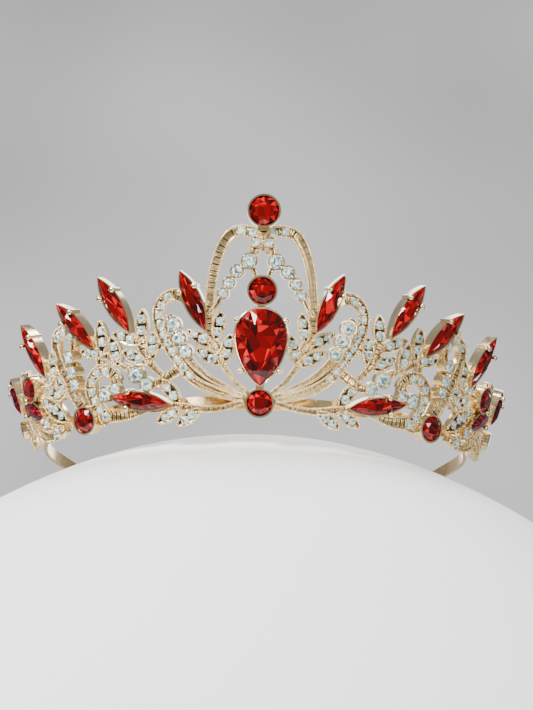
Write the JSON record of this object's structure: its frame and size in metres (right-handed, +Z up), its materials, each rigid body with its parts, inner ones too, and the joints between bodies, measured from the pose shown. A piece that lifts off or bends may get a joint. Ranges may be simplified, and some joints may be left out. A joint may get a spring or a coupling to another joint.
{
  "type": "crown",
  "caption": "Open-backed crown: pierced gold castings on a flat headband, set with round, pear and marquise red stones and clear crystals.",
  "frame": {"origin": "under the middle of the bounding box, on the plane that the crown stands on", "axes": "+Z up, the front with the pear stone faces -Y, +X to the viewer's right"},
  "size_m": [0.1254, 0.0928, 0.0514],
  "materials": {
    "cast_gold": "pale gold plating on bright castings, dark in the recesses",
    "band_gold": "smooth pale gold plating",
    "red_glass": "faceted deep red glass, foiled back",
    "dark_red_glass": "faceted dark red glass, foiled back",
    "clear_crystal": "faceted clear glass, foiled back"
  },
  "bodies": {
    "root": {"bottom_cup": "cast_gold", "bottom_stone": "red_glass", "centre_crystals": "clear_crystal", "centre_frame": "cast_gold", "centre_pave": "clear_crystal", "headband": "band_gold", "left_back_cup": "cast_gold", "left_back_stone": "dark_red_glass", "left_crystals": "clear_crystal", "left_end_cup": "cast_gold", "left_end_frame": "cast_gold", "left_end_stone": "red_glass", "left_low_marquise_setting": "cast_gold", "left_low_marquise_stone": "red_glass", "left_marquise_1_setting": "cast_gold", "left_marquise_1_stone": "red_glass", "left_marquise_2_setting": "cast_gold", "left_marquise_2_stone": "red_glass", "left_marquise_3_setting": "cast_gold", "left_marquise_3_stone": "red_glass", "left_marquise_4_setting": "cast_gold", "left_marquise_4_stone": "red_glass", "left_pave": "clear_crystal", "left_short_marquise_settings": "cast_gold", "left_short_marquise_stones": "red_glass", "left_side_cup": "cast_gold", "left_side_frame": "cast_gold", "left_side_stone": "red_glass", "left_wing_frame": "cast_gold", "middle_cup": "cast_gold", "middle_stone": "red_glass", "pear_setting": "cast_gold", "pear_stone": "red_glass", "right_back_cup": "cast_gold", "right_back_stone": "dark_red_glass", "right_crystals": "clear_crystal", "right_end_cup": "cast_gold", "right_end_frame": "cast_gold", "right_end_stone": "red_glass", "right_low_marquise_setting": "cast_gold", "right_low_marquise_stone": "red_glass", "right_marquise_1_setting": "cast_gold", "right_marquise_1_stone": "red_glass", "right_marquise_2_setting": "cast_gold", "right_marquise_2_stone": "red_glass", "right_marquise_3_setting": "cast_gold", "right_marquise_3_stone": "red_glass", "right_marquise_4_setting": "cast_gold", "right_marquise_4_stone": "red_glass", "right_pave": "clear_crystal", "right_short_marquise_settings": "cast_gold", "right_short_marquise_stones": "red_glass", "right_side_cup": "cast_gold", "right_side_frame": "cast_gold", "right_side_stone": "red_glass", "right_wing_frame": "cast_gold", "top_cup": "cast_gold", "top_stone": "red_glass"}
  },
  "joints": []
}
